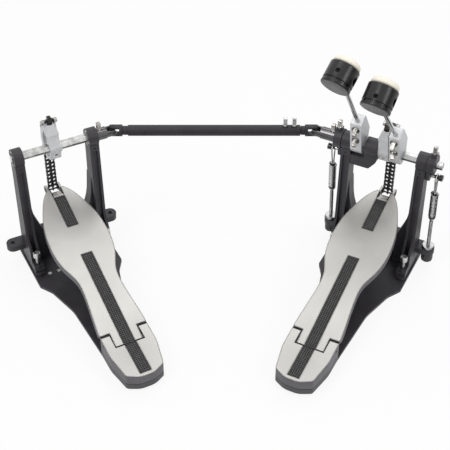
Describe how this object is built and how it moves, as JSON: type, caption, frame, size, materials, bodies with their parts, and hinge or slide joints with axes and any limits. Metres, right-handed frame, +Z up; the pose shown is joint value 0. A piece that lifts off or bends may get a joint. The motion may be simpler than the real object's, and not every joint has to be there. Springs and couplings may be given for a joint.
{
  "type": "double bass drum pedal",
  "caption": "Double bass drum pedal: a main pedal with two felt beaters, a second pedal and a telescoping drive shaft with universal joints between them.",
  "frame": {"origin": "on the floor, under the middle of the main pedal's axle", "axes": "+X along the drive shaft from the second pedal to the main one, +Y towards the drum, +Z up"},
  "size_m": [0.5818, 0.3185, 0.3586],
  "materials": {
    "charcoal_paint": "satin",
    "cast_silver": "satin",
    "board_silver": "brushed",
    "grip_black": "matte",
    "zinc": "satin",
    "chrome": "polished",
    "dark_nickel": "glossy",
    "black_steel": "matte",
    "knob_black": "matte",
    "beater_grey": "satin",
    "felt": "felt"
  },
  "bodies": {
    "main_frame": {"main_base_plate": "charcoal_paint", "main_posts": "charcoal_paint", "main_crossbar": "charcoal_paint", "bearing_arm": "charcoal_paint", "main_bearings": "zinc", "main_heel_plate": "board_silver", "main_heel_grip": "grip_black", "main_hinge_pin": "zinc", "spring_adjusters": "chrome", "right_spring": "chrome", "left_spring": "chrome", "hoop_pin": "zinc"},
    "main_footboard": {"main_footboard": "board_silver", "main_board_grips": "grip_black"},
    "main_axle": {"main_axle": "zinc", "main_cam": "cast_silver", "main_beater_hub": "cast_silver", "right_rocker": "charcoal_paint", "main_key_bolts": "chrome", "main_chain_wrap": "black_steel"},
    "main_chain": {"main_chain_span": "black_steel"},
    "main_beater": {"main_beater_rod": "chrome", "main_beater_head": "beater_grey", "main_beater_felt": "felt"},
    "second_beater_shaft": {"second_beater_axle": "zinc", "second_beater_hub": "cast_silver", "left_rocker": "charcoal_paint", "second_beater_bolts": "chrome", "main_coupling": "dark_nickel"},
    "second_beater": {"second_beater_rod": "chrome", "second_beater_head": "beater_grey", "second_beater_felt": "felt"},
    "main_cross": {"main_cross": "black_steel"},
    "drive_rod": {"drive_rod": "black_steel"},
    "right_spring_link": {"right_spring_link": "chrome"},
    "left_spring_link": {"left_spring_link": "chrome"},
    "right_spring_knob": {"right_spring_knob": "knob_black"},
    "left_spring_knob": {"left_spring_knob": "knob_black"},
    "main_spurs": {"main_spurs": "chrome"},
    "hoop_jaw": {"hoop_jaw": "charcoal_paint"},
    "hoop_screw": {"hoop_screw": "chrome"},
    "second_frame": {"second_base_plate": "charcoal_paint", "second_posts": "charcoal_paint", "second_crossbar": "charcoal_paint", "second_bearings": "zinc", "second_heel_plate": "board_silver", "second_heel_grip": "grip_black", "second_hinge_pin": "zinc"},
    "second_spurs": {"second_spurs": "chrome"},
    "second_footboard": {"second_footboard": "board_silver", "second_board_grips": "grip_black"},
    "second_axle": {"second_axle": "zinc", "second_cam": "cast_silver", "second_coupling": "dark_nickel", "second_key_bolts": "chrome", "second_chain_wrap": "black_steel"},
    "second_chain": {"second_chain_span": "black_steel"},
    "second_cross": {"second_cross": "black_steel"},
    "drive_tube": {"drive_tube": "black_steel", "tube_lock_screws": "chrome"}
  },
  "joints": [
    {"name": "main_footboard_hinge", "type": "hinge", "parent": "main_frame", "child": "main_footboard", "pos_m": [-0.09705, -0.19297, 0.027], "axis": [-0.8934, 0.4493, 0], "range_deg": [0, 6.49], "stiffness_Nm_per_rad": 6, "springref_deg": -17.19},
    {"name": "main_axle_turn", "type": "hinge", "parent": "main_frame", "child": "main_axle", "pos_m": [0, 0, 0.18], "axis": [-0.8934, 0.4493, 0], "range_deg": [-0.02, 50.02]},
    {"name": "main_chain_swing", "type": "hinge", "parent": "main_axle", "child": "main_chain", "pos_m": [0.01385, 0.02753, 0.19437], "axis": [-0.8934, 0.4493, 0], "range_deg": [-51.73, 0.02]},
    {"name": "main_beater_height", "type": "slide", "parent": "main_axle", "child": "main_beater", "axis": [-0.2906, -0.5778, 0.7627], "range_m": [-0.02, 0.01]},
    {"name": "second_beater_turn", "type": "hinge", "parent": "main_frame", "child": "second_beater_shaft", "pos_m": [0, 0, 0.18], "axis": [-0.8934, 0.4493, 0], "range_deg": [-0.02, 50.02]},
    {"name": "second_beater_height", "type": "slide", "parent": "second_beater_shaft", "child": "second_beater", "axis": [-0.2577, -0.5124, 0.8192], "range_m": [-0.02, 0.01]},
    {"name": "main_cross_tilt", "type": "hinge", "parent": "second_beater_shaft", "child": "main_cross", "pos_m": [-0.08755, 0.04403, 0.18], "axis": [0.4493, 0.8934, 0], "range_deg": [-21.09, 0.02]},
    {"name": "drive_rod_spin", "type": "hinge", "parent": "main_frame", "child": "drive_rod", "pos_m": [-0.08755, 0.04403, 0.18], "axis": [-1, 0, 0], "range_deg": [-0.02, 53.16]},
    {"name": "right_spring_stretch", "type": "slide", "parent": "main_frame", "child": "right_spring_link", "axis": [-0.4222, -0.8395, 0.342], "range_m": [-0.0001, 0.01658], "deforming": ["right_spring"]},
    {"name": "right_knob_turn", "type": "hinge", "parent": "main_frame", "child": "right_spring_knob", "pos_m": [0.06918, -0.02024, 0.033], "axis": [-0.0426, -0.0848, 0.9955], "continuous": true},
    {"name": "left_spring_stretch", "type": "slide", "parent": "main_frame", "child": "left_spring_link", "axis": [-0.4222, -0.8395, 0.342], "range_m": [-0.0001, 0.01658], "deforming": ["left_spring"]},
    {"name": "left_knob_turn", "type": "hinge", "parent": "main_frame", "child": "left_spring_knob", "pos_m": [-0.0575, 0.04347, 0.033], "axis": [-0.0426, -0.0848, 0.9955], "continuous": true},
    {"name": "main_spurs_feed", "type": "slide", "parent": "main_frame", "child": "main_spurs", "axis": [0, 0, -1], "range_m": [0, 0.008]},
    {"name": "hoop_jaw_hinge", "type": "hinge", "parent": "main_frame", "child": "hoop_jaw", "pos_m": [0.00944, 0.01876, 0.031], "axis": [-0.8934, 0.4493, 0], "range_deg": [-12, 12]},
    {"name": "hoop_screw_feed", "type": "slide", "parent": "hoop_jaw", "child": "hoop_screw", "axis": [0, 0, -1], "range_m": [-0.0042, 0.0042]},
    {"name": "second_pedal_slide", "type": "slide", "parent": "main_frame", "child": "second_frame", "axis": [-1, 0, 0], "range_m": [0, 0.1]},
    {"name": "second_spurs_feed", "type": "slide", "parent": "second_frame", "child": "second_spurs", "axis": [0, 0, -1], "range_m": [0, 0.008]},
    {"name": "second_footboard_hinge", "type": "hinge", "parent": "second_frame", "child": "second_footboard", "pos_m": [-0.32797, -0.18488, 0.027], "axis": [-0.8934, -0.4493, 0], "range_deg": [0, 6.49], "stiffness_Nm_per_rad": 6, "springref_deg": -17.19},
    {"name": "second_axle_turn", "type": "hinge", "parent": "second_frame", "child": "second_axle", "pos_m": [-0.42502, 0.00809, 0.18], "axis": [-0.8934, -0.4493, 0], "range_deg": [-0.02, 50.02]},
    {"name": "second_chain_swing", "type": "hinge", "parent": "second_axle", "child": "second_chain", "pos_m": [-0.43887, 0.03562, 0.19437], "axis": [-0.8934, -0.4493, 0], "range_deg": [-51.73, 0.02]},
    {"name": "second_cross_tilt", "type": "hinge", "parent": "second_axle", "child": "second_cross", "pos_m": [-0.35355, 0.04403, 0.18], "axis": [-0.4493, 0.8934, 0], "range_deg": [-0.02, 21.09]},
    {"name": "drive_tube_spin", "type": "hinge", "parent": "second_frame", "child": "drive_tube", "pos_m": [-0.35355, 0.04403, 0.18], "axis": [-1, 0, 0], "range_deg": [-0.02, 53.16]}
  ],
  "couplings": [
    {"joint": "main_axle_turn", "follows": "main_footboard_hinge", "ratio": 7.7087},
    {"joint": "main_chain_swing", "follows": "main_footboard_hinge", "ratio": -7.9727},
    {"joint": "second_beater_turn", "follows": "second_footboard_hinge", "ratio": 7.7087},
    {"joint": "main_cross_tilt", "follows": "second_footboard_hinge", "ratio": -3.2486},
    {"joint": "drive_rod_spin", "follows": "second_footboard_hinge", "ratio": 8.1934},
    {"joint": "right_spring_stretch", "follows": "main_footboard_hinge", "m_per_rad": 0.1456},
    {"joint": "left_spring_stretch", "follows": "second_footboard_hinge", "m_per_rad": 0.1456},
    {"joint": "hoop_screw_feed", "follows": "hoop_jaw_hinge", "m_per_rad": 0.019},
    {"joint": "second_axle_turn", "follows": "second_footboard_hinge", "ratio": 7.7087},
    {"joint": "second_chain_swing", "follows": "second_footboard_hinge", "ratio": -7.9727},
    {"joint": "second_cross_tilt", "follows": "second_footboard_hinge", "ratio": 3.2486},
    {"joint": "drive_tube_spin", "follows": "second_footboard_hinge", "ratio": 8.1934}
  ]
}
